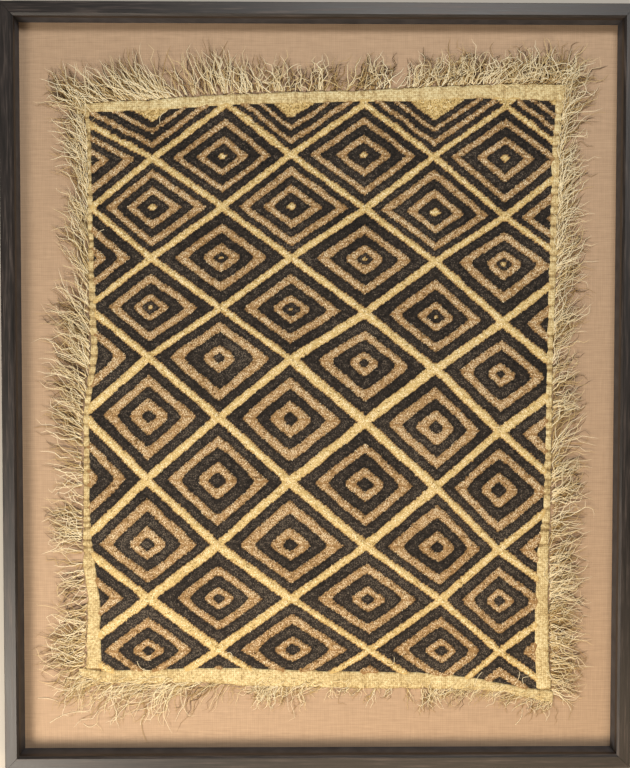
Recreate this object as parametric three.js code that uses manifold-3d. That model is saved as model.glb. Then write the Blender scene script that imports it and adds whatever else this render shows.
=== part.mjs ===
// A kuba raffia cloth, cut-pile diamonds inside folded hems with a raffia fringe,
// laid on a linen-covered board in a dark box frame. The frame lies on its back.
// Millimetres: +X right and +Y up across the cloth, +Z out of its face, z = 0 at the back.
import * as THREE from 'three';
import { mergeVertices } from 'three/addons/utils/BufferGeometryUtils.js';
import Module from 'manifold-3d';

// Driving dimensions
const OPENING_W = 700;
const OPENING_H = 856;
const GAP = 0.3;

const BOARD_THICK = 6;
const RAIL_FACE = 16;
const RAIL_FRONT = 32;
const LIP_DEPTH = 9;
const RAIL_ARRIS = 0.8;
const LIP_BEVEL = 2.4;
const REBATE = 3.6;
const SPACER_SETBACK = 0.4;
const MITRE_CLEAR = 0.2;

const CLOTH_BACK = BOARD_THICK + GAP;
const PILE_THICK = 2.2;
const RING_RISE = 0.6;
const LATTICE_RISE = 0.8;
const HEM_THICK = 3;
const HEM_LAP = 3;
const LATTICE_EDGE = 0.9;
const BAND_SLOPE = 0.022;

const STRIP_WIDE = 2.2;
const STRIP_THICK = 2.8;
const ROOT_DEPTH = 0.75;
const LOCK_WIDE = 4.4;
const LOCK_THICK = 1.5;
const UPPER_LAYER = 1.8;
const LOCK_SWAY_DEG = 7;
const LOCK_BEND_DEG = 24;
const FRINGE_SEED = 11;

// Each hem by its stations along the side: the outer edge and the inner, pile-side edge.
const TOP_HEM = [
  { at: -283, outer: 333, inner: 322 },
  { at: -256, outer: 337, inner: 325 },
  { at: -198, outer: 339, inner: 327 },
  { at: -139, outer: 344, inner: 331 },
  { at: -81, outer: 347, inner: 335 },
  { at: -23, outer: 349, inner: 336 },
  { at: 54, outer: 351, inner: 338 },
  { at: 112, outer: 355, inner: 339 },
  { at: 171, outer: 357, inner: 342 },
  { at: 230, outer: 360, inner: 341 },
  { at: 290, outer: 359, inner: 340 },
];
const BOTTOM_HEM = [
  { at: -285, outer: -340, inner: -331 },
  { at: -260, outer: -349, inner: -335 },
  { at: -201, outer: -351, inner: -334 },
  { at: -142, outer: -349, inner: -332 },
  { at: -82, outer: -354, inner: -332 },
  { at: -22, outer: -355, inner: -335 },
  { at: 55, outer: -357, inner: -337 },
  { at: 115, outer: -357, inner: -338 },
  { at: 175, outer: -359, inner: -343 },
  { at: 217, outer: -361, inner: -351 },
  { at: 253, outer: -370, inner: -358 },
  { at: 281, outer: -375, inner: -361 },
];
const LEFT_HEM = [
  { at: 331, outer: -278, inner: -268 },
  { at: 304, outer: -272, inner: -267 },
  { at: 222, outer: -272, inner: -266 },
  { at: 106, outer: -271, inner: -263 },
  { at: 40, outer: -269, inner: -261 },
  { at: -24, outer: -278, inner: -271 },
  { at: -145, outer: -279, inner: -271 },
  { at: -202, outer: -280, inner: -266 },
  { at: -250, outer: -274, inner: -260 },
  { at: -340, outer: -277, inner: -259 },
];
const RIGHT_HEM = [
  { at: 352, outer: 290, inner: 279 },
  { at: 341, outer: 287, inner: 278 },
  { at: 282, outer: 284, inner: 274 },
  { at: 158, outer: 281, inner: 272 },
  { at: 40, outer: 277, inner: 270 },
  { at: -71, outer: 277, inner: 269 },
  { at: -145, outer: 276, inner: 267 },
  { at: -203, outer: 274, inner: 260 },
  { at: -311, outer: 275, inner: 258 },
  { at: -366, outer: 279, inner: 262 },
];

// The lattice of diamonds: x of each column at the top and bottom of the cloth.
const LATTICE_TOP = 330;
const LATTICE_BOTTOM = -340;
const FIRST_COLUMN = -2;
const COLUMNS = [
  { top: -425, bottom: -460 },
  { top: -340, bottom: -375 },
  { top: -262, bottom: -290 },
  { top: -194, bottom: -205 },
  { top: -112, bottom: -121 },
  { top: -32, bottom: -33 },
  { top: 53, bottom: 59 },
  { top: 135, bottom: 146 },
  { top: 220, bottom: 214 },
  { top: 305, bottom: 297 },
  { top: 390, bottom: 382 },
  { top: 475, bottom: 467 },
];

// Each row of the lattice: its height at the left, middle and right, then the outer and the
// inner ring of its diamonds and the heart, as shares of the way from centre to corner.
const ROW_SIDE = 210;
const FIRST_ROW = -2;
const ROWS = [
  { left: 450, mid: 453, right: 449, outer: [0.87, 0.76], inner: [0.65, 0.5], heart: 0.33, lit: 1 },
  { left: 392, mid: 395, right: 391, outer: [0.87, 0.76], inner: [0.65, 0.5], heart: 0.33, lit: 1 },
  { left: 332, mid: 336, right: 333, outer: [0.86, 0.76], inner: [0.64, 0.5], heart: 0.33, lit: 1 },
  { left: 271, mid: 277, right: 273, outer: [0.72, 0.56], inner: [0.39, 0.22], heart: 0.08, lit: 1 },
  { left: 214, mid: 216, right: 205, outer: [0.74, 0.58], inner: [0.4, 0.23], heart: 0.09, lit: 1 },
  { left: 155, mid: 156, right: 149, outer: [0.65, 0.45], inner: [0.26, 0.11], heart: 0.06, lit: 1 },
  { left: 97, mid: 95, right: 81, outer: [0.66, 0.45], inner: [0.27, 0.11], heart: 0.06, lit: 1 },
  { left: 39, mid: 36, right: 19, outer: [0.69, 0.47], inner: [0.27, 0.09], heart: 0.04, lit: 0 },
  { left: -31, mid: -35, right: -50, outer: [0.66, 0.46], inner: [0.29, 0.11], heart: 0.05, lit: 0 },
  { left: -106, mid: -110, right: -119, outer: [0.71, 0.5], inner: [0.29, 0.1], heart: 0.05, lit: 0 },
  { left: -184, mid: -185, right: -190, outer: [0.72, 0.51], inner: [0.29, 0.11], heart: 0.05, lit: 0 },
  { left: -248, mid: -249, right: -252, outer: [0.72, 0.5], inner: [0.29, 0.1], heart: 0.05, lit: 0 },
  { left: -311, mid: -310, right: -313, outer: [0.71, 0.5], inner: [0.29, 0.1], heart: 0.05, lit: 0 },
  { left: -366, mid: -366, right: -370, outer: [0.7, 0.48], inner: [0.29, 0.1], heart: 0.05, lit: 0 },
  { left: -421, mid: -421, right: -425, outer: [0.7, 0.48], inner: [0.29, 0.1], heart: 0.05, lit: 0 },
  { left: -476, mid: -476, right: -480, outer: [0.7, 0.48], inner: [0.29, 0.1], heart: 0.05, lit: 0 },
];

// The fringe along each side: how far the locks lean from straight out (towards +X on the
// top and bottom, +Y on the left and right), how long they are and how far apart they stand.
const TOP_LOCKS = [
  { at: -280, lean: -42, reach: 50, pitch: 8 },
  { at: -200, lean: -30, reach: 52, pitch: 8 },
  { at: -110, lean: -12, reach: 46, pitch: 10 },
  { at: -20, lean: -4, reach: 48, pitch: 11 },
  { at: 85, lean: 4, reach: 48, pitch: 10 },
  { at: 160, lean: 12, reach: 50, pitch: 9 },
  { at: 240, lean: 22, reach: 54, pitch: 8 },
  { at: 286, lean: 40, reach: 52, pitch: 8 },
];
const BOTTOM_LOCKS = [
  { at: -280, lean: -42, reach: 42, pitch: 9 },
  { at: -150, lean: -48, reach: 38, pitch: 9 },
  { at: 0, lean: -46, reach: 36, pitch: 10 },
  { at: 150, lean: -44, reach: 36, pitch: 9 },
  { at: 277, lean: -22, reach: 32, pitch: 9 },
];
const LEFT_LOCKS = [
  { at: -318, lean: -26, reach: 42, pitch: 8 },
  { at: -270, lean: -8, reach: 46, pitch: 8 },
  { at: -180, lean: 2, reach: 48, pitch: 9 },
  { at: -60, lean: 14, reach: 44, pitch: 12 },
  { at: 60, lean: 28, reach: 52, pitch: 9 },
  { at: 200, lean: 32, reach: 52, pitch: 8 },
  { at: 308, lean: 38, reach: 48, pitch: 8 },
];
const RIGHT_LOCKS = [
  { at: -356, lean: -25, reach: 42, pitch: 8 },
  { at: -300, lean: -14, reach: 46, pitch: 8 },
  { at: -200, lean: -4, reach: 48, pitch: 9 },
  { at: -60, lean: 8, reach: 44, pitch: 12 },
  { at: 100, lean: 18, reach: 46, pitch: 9 },
  { at: 250, lean: 30, reach: 48, pitch: 8 },
  { at: 336, lean: 38, reach: 48, pitch: 8 },
];

const wasm = await Module();
wasm.setup();

// Closed meshes and solids

function closedGeometry(points, index) {
  const volume = new THREE.Vector3();
  let six = 0;
  for (let k = 0; k < index.length; k += 3) {
    volume.crossVectors(points[index[k]], points[index[k + 1]]);
    six += volume.dot(points[index[k + 2]]);
  }
  const geometry = new THREE.BufferGeometry().setFromPoints(points);
  geometry.setIndex(six < 0 ? index.toReversed() : index);
  return geometry;
}

// A skin through sections of equal count, closed by flat ends or by a point.
function loft(sections, tip) {
  const count = sections[0].length;
  const points = sections.flat();
  const last = points.length - count;
  const index = [];
  for (let k = 0; k < last; k += 1) {
    const next = k % count === count - 1 ? k + 1 - count : k + 1;
    index.push(k, next, k + count, next, next + count, k + count);
  }
  for (let k = 1; k + 1 < count; k += 1) {
    index.push(0, k + 1, k);
    if (!tip) {
      index.push(last, last + k, last + k + 1);
    }
  }
  if (tip) {
    points.push(tip);
    for (let k = 0; k < count; k += 1) {
      index.push(last + k, last + (k + 1) % count, points.length - 1);
    }
  }
  return closedGeometry(points, index);
}

function toSolid(geometry) {
  const bare = geometry.clone();
  bare.deleteAttribute('normal');
  bare.deleteAttribute('uv');
  const merged = mergeVertices(bare);
  return new wasm.Manifold(new wasm.Mesh({
    numProp: 3,
    vertProperties: new Float32Array(merged.attributes.position.array),
    triVerts: new Uint32Array(merged.index.array),
  }));
}

function toGeometry(solid) {
  const mesh = solid.getMesh();
  const geometry = new THREE.BufferGeometry();
  geometry.setAttribute('position', new THREE.BufferAttribute(new Float32Array(mesh.vertProperties), 3));
  geometry.setIndex(new THREE.BufferAttribute(new Uint32Array(mesh.triVerts), 1));
  geometry.computeVertexNormals();
  return geometry;
}

function named(name, geometry, color, roughness) {
  const mesh = new THREE.Mesh(geometry, new THREE.MeshStandardMaterial({ color, roughness, metalness: 0 }));
  mesh.name = name;
  return mesh;
}

// The value of one column of a table, between its stations.
function between(rows, at, column) {
  const rising = rows[0].at < rows[rows.length - 1].at ? rows : rows.toReversed();
  const high = Math.max(1, rising.findIndex((row) => row.at >= at));
  const [a, b] = [rising[high - 1], rising[high]];
  return THREE.MathUtils.mapLinear(at, a.at, b.at, a[column], b[column]);
}

// Frame: mitred rails with a lip, the spacers behind the lip, and the linen board.

const RAIL_SECTION = [
  [REBATE, 0],
  [RAIL_FACE, 0],
  [RAIL_FACE, RAIL_FRONT - RAIL_ARRIS],
  [RAIL_FACE - RAIL_ARRIS, RAIL_FRONT],
  [LIP_BEVEL, RAIL_FRONT],
  [0, RAIL_FRONT - LIP_BEVEL],
  [0, RAIL_FRONT - LIP_DEPTH],
  [REBATE, RAIL_FRONT - LIP_DEPTH],
];
const SPACER_SECTION = [
  [SPACER_SETBACK, BOARD_THICK + GAP],
  [REBATE - GAP, BOARD_THICK + GAP],
  [REBATE - GAP, RAIL_FRONT - LIP_DEPTH - GAP],
  [SPACER_SETBACK, RAIL_FRONT - LIP_DEPTH - GAP],
];
const SIDES = [
  { side: 'top', turn: 0, x: 0, y: OPENING_H / 2, sight: OPENING_W },
  { side: 'left', turn: Math.PI / 2, x: -OPENING_W / 2, y: 0, sight: OPENING_H },
  { side: 'bottom', turn: Math.PI, x: 0, y: -OPENING_H / 2, sight: OPENING_W },
  { side: 'right', turn: -Math.PI / 2, x: OPENING_W / 2, y: 0, sight: OPENING_H },
];

// A length along X with its sight edge at y = 0, its ends cut at 45 degrees.
function mitredLength(section, sight) {
  const shape = new THREE.Shape(section.map(([out, up]) => new THREE.Vector2(out, up)));
  const geometry = new THREE.ExtrudeGeometry(shape, { depth: 1, bevelEnabled: false });
  const corner = geometry.attributes.position;
  for (let k = 0; k < corner.count; k += 1) {
    const out = corner.getX(k);
    const end = corner.getZ(k) > 0.5 ? 1 : -1;
    corner.setXYZ(k, end * (sight / 2 + out - MITRE_CLEAR), out, corner.getY(k));
  }
  geometry.computeVertexNormals();
  return geometry;
}

function frameLengths(prefix, section, color) {
  return SIDES.map(({ side, turn, x, y, sight }) => {
    const mesh = named(`${prefix}_${side}`, mitredLength(section, sight), color, 0.55);
    mesh.position.set(x, y, 0);
    mesh.rotation.z = turn;
    return mesh;
  });
}

function linenBoard() {
  const past = 2 * (REBATE - GAP);
  const geometry = new THREE.BoxGeometry(OPENING_W + past, OPENING_H + past, BOARD_THICK);
  const mesh = named('linen_mount_board', geometry, 0xb4936f, 0.95);
  mesh.position.z = BOARD_THICK / 2;
  return mesh;
}

// Cloth: the pile field, clipped between the hems and joined to them.

function latticePoint(rowNumber, columnNumber) {
  const row = ROWS[rowNumber - FIRST_ROW];
  const column = COLUMNS[columnNumber - FIRST_COLUMN];
  const { mapLinear } = THREE.MathUtils;
  const x = mapLinear(row.mid, LATTICE_TOP, LATTICE_BOTTOM, column.top, column.bottom);
  const y = x < 0
    ? mapLinear(x, -ROW_SIDE, 0, row.left, row.mid)
    : mapLinear(x, 0, ROW_SIDE, row.mid, row.right);
  return new THREE.Vector2(x, y);
}

// From the lattice inwards: how far out each contour of a diamond lies, and how high.
function diamondContours({ outer, inner, heart, lit }) {
  const contours = [
    { share: 1, rise: LATTICE_RISE },
    { share: LATTICE_EDGE, rise: LATTICE_RISE },
    { share: LATTICE_EDGE - BAND_SLOPE, rise: 0 },
  ];
  for (const [from, to] of [outer, inner]) {
    contours.push({ share: from, rise: 0 });
    contours.push({ share: from - BAND_SLOPE, rise: RING_RISE });
    contours.push({ share: to + BAND_SLOPE, rise: RING_RISE });
    contours.push({ share: to, rise: 0 });
  }
  if (lit) {
    contours.push({ share: heart, rise: 0 });
    contours.push({ share: heart - BAND_SLOPE, rise: RING_RISE });
  }
  return contours;
}

function pileField() {
  const points = [];
  const index = [];
  const edges = new Map();
  const add = (at, z) => points.push(new THREE.Vector3(at.x, at.y, z)) - 1;
  const face = CLOTH_BACK + PILE_THICK;
  for (let row = FIRST_ROW + 1; row < FIRST_ROW + ROWS.length - 1; row += 1) {
    for (let column = FIRST_COLUMN + 1; column < FIRST_COLUMN + COLUMNS.length - 1; column += 1) {
      if ((row + column) % 2 === 0) {
        continue;
      }
      const around = [[row - 1, column], [row, column - 1], [row + 1, column], [row, column + 1]];
      const corners = around.map(([r, c]) => latticePoint(r, c));
      const centre = latticePoint(row, column);
      const contours = diamondContours(ROWS[row - FIRST_ROW]);
      const loops = contours.map(({ share, rise }) => corners.map(
        (corner) => add(centre.clone().lerp(corner, share), face + rise),
      ));
      const middle = add(centre, face + contours[contours.length - 1].rise);
      const floor = corners.map((corner) => add(corner, CLOTH_BACK));
      index.push(floor[0], floor[2], floor[1], floor[0], floor[3], floor[2]);
      for (let k = 0; k < 4; k += 1) {
        const next = (k + 1) % 4;
        for (let ring = 1; ring < loops.length; ring += 1) {
          const [out, into] = [loops[ring - 1], loops[ring]];
          index.push(out[k], out[next], into[next], out[k], into[next], into[k]);
        }
        const heart = loops[loops.length - 1];
        index.push(heart[k], heart[next], middle);
        const wall = [floor[k], floor[next], loops[0][next], loops[0][k]];
        edges.set(`${around[k]} ${around[next]}`, { reverse: `${around[next]} ${around[k]}`, wall });
      }
    }
  }
  for (const { reverse, wall: [a, b, c, d] } of edges.values()) {
    if (!edges.has(reverse)) {
      index.push(a, b, c, a, c, d);
    }
  }
  return toSolid(closedGeometry(points, index));
}

// A tall block between the inner edges of two facing hems, for clipping the pile.
function betweenHems(first, second, toPoint) {
  const overrun = 40;
  const line = (rows, lap) => rows.map(({ at, inner }, k) => {
    const ends = k === 0 || k === rows.length - 1;
    return toPoint(ends ? at + Math.sign(at) * overrun : at, inner + lap);
  });
  const outline = [...line(first, HEM_LAP), ...line(second, -HEM_LAP).toReversed()];
  const block = new THREE.ExtrudeGeometry(new THREE.Shape(outline), { depth: 40, bevelEnabled: false });
  return toSolid(block);
}

// A hem is turned over: full in the middle, thin at its outer edge, and it meets the pile.
const HEM_SECTION = [
  { across: 0, up: 0 },
  { across: 0, up: 0.4 },
  { across: 0.22, up: 1 },
  { across: 0.78, up: 1 },
  { across: 1, up: 0.7 },
  { across: 1, up: 0 },
];

function hem(rows, toPoint) {
  const sections = rows.map(({ at, outer, inner }) => HEM_SECTION.map(({ across, up }) => {
    const { x, y } = toPoint(at, THREE.MathUtils.lerp(outer, inner, across));
    return new THREE.Vector3(x, y, CLOTH_BACK + up * HEM_THICK);
  }));
  return toSolid(loft(sections));
}

const alongX = (at, off) => new THREE.Vector2(at, off);
const alongY = (at, off) => new THREE.Vector2(off, at);

function kubaCloth() {
  const cloth = pileField()
    .intersect(betweenHems(TOP_HEM, BOTTOM_HEM, alongX))
    .intersect(betweenHems(RIGHT_HEM, LEFT_HEM, alongY))
    .add(hem(TOP_HEM, alongX))
    .add(hem(BOTTOM_HEM, alongX))
    .add(hem(LEFT_HEM, alongY))
    .add(hem(RIGHT_HEM, alongY));
  return named('kuba_cloth', toGeometry(cloth), 0x6b5639, 0.9);
}

// Fringe: along each hem a narrow strip with locks in two layers, so that none cross.

function seededNoise(seed) {
  let state = seed;
  return () => {
    state = (state * 16807) % 2147483647;
    return 2 * (state / 2147483647) - 1;
  };
}

function backingStrip(hemRows, locks, toward, toPoint) {
  const [from, to] = [locks[0].at, locks[locks.length - 1].at];
  const inside = hemRows.map(({ at }) => at).filter((at) => at > from && at < to);
  const stations = [from, ...inside.sort((a, b) => a - b), to];
  const sections = stations.map((at) => {
    const near = between(hemRows, at, 'outer') + toward * GAP;
    const far = near + toward * STRIP_WIDE;
    const corners = [[near, 0], [far, 0], [far, STRIP_THICK], [near, STRIP_THICK]];
    return corners.map(([off, up]) => {
      const { x, y } = toPoint(at, off);
      return new THREE.Vector3(x, y, CLOTH_BACK + up);
    });
  });
  return toSolid(loft(sections));
}

// One lock: a flat-bottomed three-sided blade, bent once, tapering to a point.
function lock(root, outward, sideways, { lean, bend, reach, up }) {
  const direction = (angle) => outward.clone().multiplyScalar(Math.cos(angle))
    .addScaledVector(sideways, Math.sin(angle));
  const start = direction(lean);
  const end = direction(lean + bend);
  const middle = root.clone().addScaledVector(start, reach / 2);
  const tip = middle.clone().addScaledVector(end, reach / 2);
  const section = (centre, ahead, wide) => {
    const across = new THREE.Vector2(-ahead.y, ahead.x).multiplyScalar(wide / 2);
    return [[-1, 0], [1, 0], [0, LOCK_THICK]].map(([side, high]) => new THREE.Vector3(
      centre.x + side * across.x,
      centre.y + side * across.y,
      up + high,
    ));
  };
  const ahead = start.clone().add(end).normalize();
  const sections = [section(root, start, 0.75 * LOCK_WIDE), section(middle, ahead, LOCK_WIDE)];
  return toSolid(loft(sections, new THREE.Vector3(tip.x, tip.y, up + 0.3 * LOCK_THICK)));
}

function fringe(name, hemRows, locks, toward, toPoint) {
  const noise = seededNoise(FRINGE_SEED + name.length);
  const outward = toPoint(0, toward);
  const sideways = toPoint(1, 0);
  const end = locks[locks.length - 1].at - LOCK_WIDE;
  const { degToRad } = THREE.MathUtils;
  let solid = backingStrip(hemRows, locks, toward, toPoint);
  let upper = false;
  let at = locks[0].at + LOCK_WIDE;
  while (at < end) {
    const middle = between(hemRows, at, 'outer') + toward * (GAP + ROOT_DEPTH * STRIP_WIDE);
    solid = solid.add(lock(toPoint(at, middle), outward, sideways, {
      lean: degToRad(between(locks, at, 'lean') + LOCK_SWAY_DEG * noise()),
      bend: degToRad(LOCK_BEND_DEG * noise()),
      reach: between(locks, at, 'reach') * (0.92 + 0.12 * noise()),
      up: CLOTH_BACK + (upper ? UPPER_LAYER : 0),
    }));
    at += between(locks, at, 'pitch');
    upper = !upper;
  }
  return named(name, toGeometry(solid), 0xd2bb8a, 0.85);
}

const framedCloth = new THREE.Group();
framedCloth.add(
  ...frameLengths('frame_rail', RAIL_SECTION, 0x3a322f),
  ...frameLengths('frame_spacer', SPACER_SECTION, 0x3d3a39),
  linenBoard(),
  kubaCloth(),
  fringe('fringe_top', TOP_HEM, TOP_LOCKS, 1, alongX),
  fringe('fringe_bottom', BOTTOM_HEM, BOTTOM_LOCKS, -1, alongX),
  fringe('fringe_left', LEFT_HEM, LEFT_LOCKS, -1, alongY),
  fringe('fringe_right', RIGHT_HEM, RIGHT_LOCKS, 1, alongY),
);

export default framedCloth;
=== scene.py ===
"""A framed kuba raffia cloth: cut-pile diamonds, folded hems and a frayed fringe on a linen board.

Tables and named sizes are in millimetres and degrees, in the frame's own axes: +X right and +Y up across
the cloth, +Z out of it.
"""

import math

import bpy
import numpy as np
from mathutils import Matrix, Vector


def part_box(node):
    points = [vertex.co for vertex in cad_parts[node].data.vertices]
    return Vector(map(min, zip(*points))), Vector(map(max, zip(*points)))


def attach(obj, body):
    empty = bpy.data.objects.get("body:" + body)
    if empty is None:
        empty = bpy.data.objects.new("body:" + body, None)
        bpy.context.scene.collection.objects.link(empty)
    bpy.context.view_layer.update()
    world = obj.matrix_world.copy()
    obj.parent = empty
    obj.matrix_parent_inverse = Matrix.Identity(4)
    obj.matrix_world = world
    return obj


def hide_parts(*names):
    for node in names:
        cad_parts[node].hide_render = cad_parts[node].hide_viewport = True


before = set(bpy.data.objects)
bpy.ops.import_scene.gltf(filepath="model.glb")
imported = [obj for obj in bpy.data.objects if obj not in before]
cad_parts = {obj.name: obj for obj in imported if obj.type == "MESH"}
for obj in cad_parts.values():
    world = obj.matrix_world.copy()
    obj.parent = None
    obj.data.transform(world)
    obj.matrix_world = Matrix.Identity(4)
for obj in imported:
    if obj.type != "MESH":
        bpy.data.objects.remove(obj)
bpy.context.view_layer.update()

MM = 0.001
BOARD_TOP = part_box("linen_mount_board")[1].z / MM
CLOTH_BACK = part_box("kuba_cloth")[0].z / MM
CLOTH_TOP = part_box("kuba_cloth")[1].z / MM
HEM_THICK = CLOTH_TOP - CLOTH_BACK

# Hems, from the first station to the last: place along the side, outer edge, inner edge.
OUTER, INNER = 1, 2
TOP_HEM = np.array([
    (-283, 333, 322), (-256, 337, 325), (-198, 339, 327), (-139, 344, 331), (-81, 347, 335),
    (-23, 349, 336), (54, 351, 338), (112, 355, 339), (171, 357, 342), (230, 360, 341), (290, 359, 340)])
BOTTOM_HEM = np.array([
    (-285, -340, -331), (-260, -349, -335), (-201, -351, -334), (-142, -349, -332), (-82, -354, -332),
    (-22, -355, -335), (55, -357, -337), (115, -357, -338), (175, -359, -343), (217, -361, -351),
    (253, -370, -358), (281, -375, -361)])
LEFT_HEM = np.array([
    (-340, -277, -259), (-250, -274, -260), (-202, -280, -266), (-145, -279, -271), (-24, -278, -271),
    (40, -269, -261), (106, -271, -263), (222, -272, -266), (304, -272, -267), (331, -278, -268)])
RIGHT_HEM = np.array([
    (-366, 279, 262), (-311, 275, 258), (-203, 274, 260), (-145, 276, 267), (-71, 277, 269), (40, 277, 270),
    (158, 281, 272), (282, 284, 274), (341, 287, 278), (352, 290, 279)])

# Columns of the diamond lattice: x at the top and at the bottom of the cloth.
LATTICE_TOP, LATTICE_BOTTOM = 330, -340
FIRST_COLUMN = -2
COLUMNS = np.array([
    (-425, -460), (-340, -375), (-262, -290), (-194, -205), (-112, -121), (-32, -33), (53, 59), (135, 146),
    (220, 214), (305, 297), (390, 382), (475, 467)])

# Rows of the lattice: y at the left, middle and right and a step sideways; then, as shares of the way
# from a diamond's centre to its corner, its outer ring, its inner ring, its heart and the lattice's
# edge; whether the heart is straw; and how blunt its corners are (0 is a sharp diamond).
ROW_SIDE = 210
FIRST_ROW, LAST_ROW = -2, 13
ROW_COLUMNS = ("left mid right shift outer_from outer_to inner_from inner_to heart lattice straw_heart "
               "blunt").split()
ROWS = [dict(zip(ROW_COLUMNS, row)) for row in (
    (450, 453, 449, 0.0, 0.82, 0.69, 0.55, 0.41, 0.28, 0.92, 1, 0.01),
    (392, 395, 391, 0.0, 0.82, 0.69, 0.55, 0.41, 0.28, 0.80, 1, 0.01),
    (332, 336, 333, 0.0, 0.90, 0.81, 0.75, 0.67, 0.60, 0.95, 1, 0.00),
    (271, 277, 273, -0.8, 0.76, 0.60, 0.42, 0.25, 0.07, 0.92, 1, 0.02),
    (214, 216, 205, 0.0, 0.79, 0.60, 0.44, 0.26, 0.08, 0.92, 1, 0.02),
    (155, 156, 149, -0.6, 0.69, 0.49, 0.31, 0.12, 0.04, 0.91, 1, 0.05),
    (97, 95, 81, -0.6, 0.70, 0.50, 0.30, 0.14, 0.035, 0.91, 1, 0.04),
    (39, 36, 19, -1.9, 0.70, 0.49, 0.26, 0.08, 0.00, 0.90, 0, 0.08),
    (-31, -35, -50, -1.6, 0.71, 0.50, 0.33, 0.11, 0.00, 0.90, 0, 0.05),
    (-106, -110, -119, -2.4, 0.72, 0.53, 0.32, 0.13, 0.00, 0.91, 0, 0.06),
    (-184, -185, -190, -1.4, 0.73, 0.51, 0.31, 0.11, 0.00, 0.90, 0, 0.05),
    (-248, -249, -252, 0.8, 0.67, 0.47, 0.26, 0.10, 0.00, 0.90, 0, 0.06),
    (-311, -310, -313, 1.9, 0.70, 0.49, 0.28, 0.11, 0.00, 0.91, 0, 0.055),
    (-366, -366, -370, 2.0, 0.70, 0.48, 0.28, 0.11, 0.00, 0.91, 0, 0.05),
    (-421, -421, -425, 2.0, 0.70, 0.48, 0.28, 0.11, 0.00, 0.91, 0, 0.05),
    (-476, -476, -480, 2.0, 0.70, 0.48, 0.28, 0.11, 0.00, 0.91, 0, 0.05),
)]
# A diamond, by (row, column), whose rings are like those of another row.
RINGS_LIKE = {(1, 0): 8}
# Diamonds whose rings are larger or smaller than their row's, by (row, column).
RING_SCALE = {
    (1, 2): 0.95, (1, 6): 1.03, (5, 2): 1.07, (5, 4): 0.95, (5, 6): 0.96, (7, 2): 1.02, (7, 4): 0.96,
    (7, 6): 1.03, (9, 2): 0.94, (9, 4): 1.05, (10, 1): 0.93, (10, 3): 1.04}
# The tufts spread a band by this share on each side, so the bands are drawn that much narrower.
TUFT_SHARE = 0.010

# Points that stand off the lattice's straight lines, by (row, column): step right, step up. The centres
# of the top row are lifted, so that its half diamonds run straight into the hem.
POINT_STEP = {
    (0, 0): (-28, -10), (0, 2): (4, 2), (0, 1): (0, 46), (0, 3): (0, 46), (0, 5): (0, 46), (0, 7): (0, 46)}

# Fringe: place along the side, lean in degrees from straight out, length, about the spacing of the clumps,
# tangle, and the share of strands that lie over the hem.
LOCK_COLUMNS = "at lean length spacing tangle over_hem".split()
TOP_LOCKS = np.array([
    (-284, -58, 50, 3.4, 1.4, 0.1), (-240, -48, 54, 3.2, 0.8, 0.0), (-190, -42, 56, 3.4, 0.8, 0.0),
    (-162, -34, 52, 3.8, 0.9, 0.0), (-148, -20, 44, 9.0, 1.4, 0.0), (-134, 0, 58, 4.0, 0.9, 0.0),
    (-112, -14, 48, 5.0, 1.0, 0.0), (-70, -12, 46, 6.5, 1.3, 0.0), (-45, 0, 46, 9.0, 1.9, 0.0),
    (0, 2, 46, 7.0, 2.2, 0.0), (30, 4, 40, 13.0, 1.6, 0.0), (50, 8, 46, 4.2, 1.6, 0.0),
    (76, 14, 46, 4.4, 1.6, 0.0), (92, 34, 38, 11.0, 1.3, 0.0), (110, 24, 44, 4.2, 1.6, 0.0),
    (170, 16, 46, 4.0, 1.8, 0.0), (230, 16, 50, 3.6, 1.9, 0.0), (287, 42, 52, 3.6, 1.8, 0.0)])
BOTTOM_LOCKS = np.array([
    (-284, -46, 58, 6.6, 1.6, 0.2), (-256, -56, 62, 6.4, 1.5, 0.2), (-200, -58, 64, 6.2, 1.4, 0.2),
    (-150, -60, 58, 7.2, 1.4, 0.1), (-110, -60, 44, 10.0, 1.3, 0.1), (-92, -45, 30, 18.0, 1.4, 0.1),
    (-80, -30, 36, 5.5, 1.9, 0.1), (-34, -42, 38, 5.5, 1.8, 0.1), (-8, -60, 36, 9.0, 1.4, 0.1),
    (20, -40, 24, 10.0, 2.0, 0.3), (50, -50, 28, 14.0, 1.7, 0.3), (70, -30, 24, 22.0, 1.7, 0.1),
    (104, 10, 24, 20.0, 1.5, 0.1), (112, 34, 44, 6.0, 1.2, 0.1), (126, 28, 40, 6.0, 1.2, 0.1),
    (140, -30, 26, 6.5, 1.5, 0.1), (190, -50, 26, 6.0, 1.6, 0.2), (240, -60, 26, 5.4, 1.8, 0.3),
    (279, -40, 28, 4.8, 1.8, 0.4)])
LEFT_LOCKS = np.array([
    (-334, -14, 58, 3.4, 1.7, 0.1), (-310, -6, 58, 4.4, 1.5, 0.0), (-272, -4, 50, 5.2, 1.5, 0.0),
    (-255, -26, 46, 7.0, 1.4, 0.0), (-218, -28, 46, 8.0, 1.4, 0.0), (-206, -6, 40, 11.0, 1.4, 0.0),
    (-192, 8, 46, 4.6, 1.6, 0.0), (-146, 10, 46, 4.8, 1.6, 0.0), (-128, 4, 26, 16.0, 1.3, 0.0),
    (-110, 4, 46, 8.0, 1.2, 0.0), (-80, 14, 46, 8.0, 1.1, 0.0), (-62, 36, 48, 5.4, 1.1, 0.0),
    (0, 42, 50, 4.8, 1.1, 0.0), (20, 38, 56, 4.4, 1.0, 0.0), (84, 44, 56, 4.4, 1.0, 0.0),
    (102, 52, 46, 7.5, 1.0, 0.0), (150, 56, 46, 5.8, 1.0, 0.0), (240, 58, 48, 5.0, 1.0, 0.0),
    (300, 52, 50, 4.6, 1.1, 0.0), (328, 46, 54, 3.8, 1.2, 0.1)])
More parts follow.
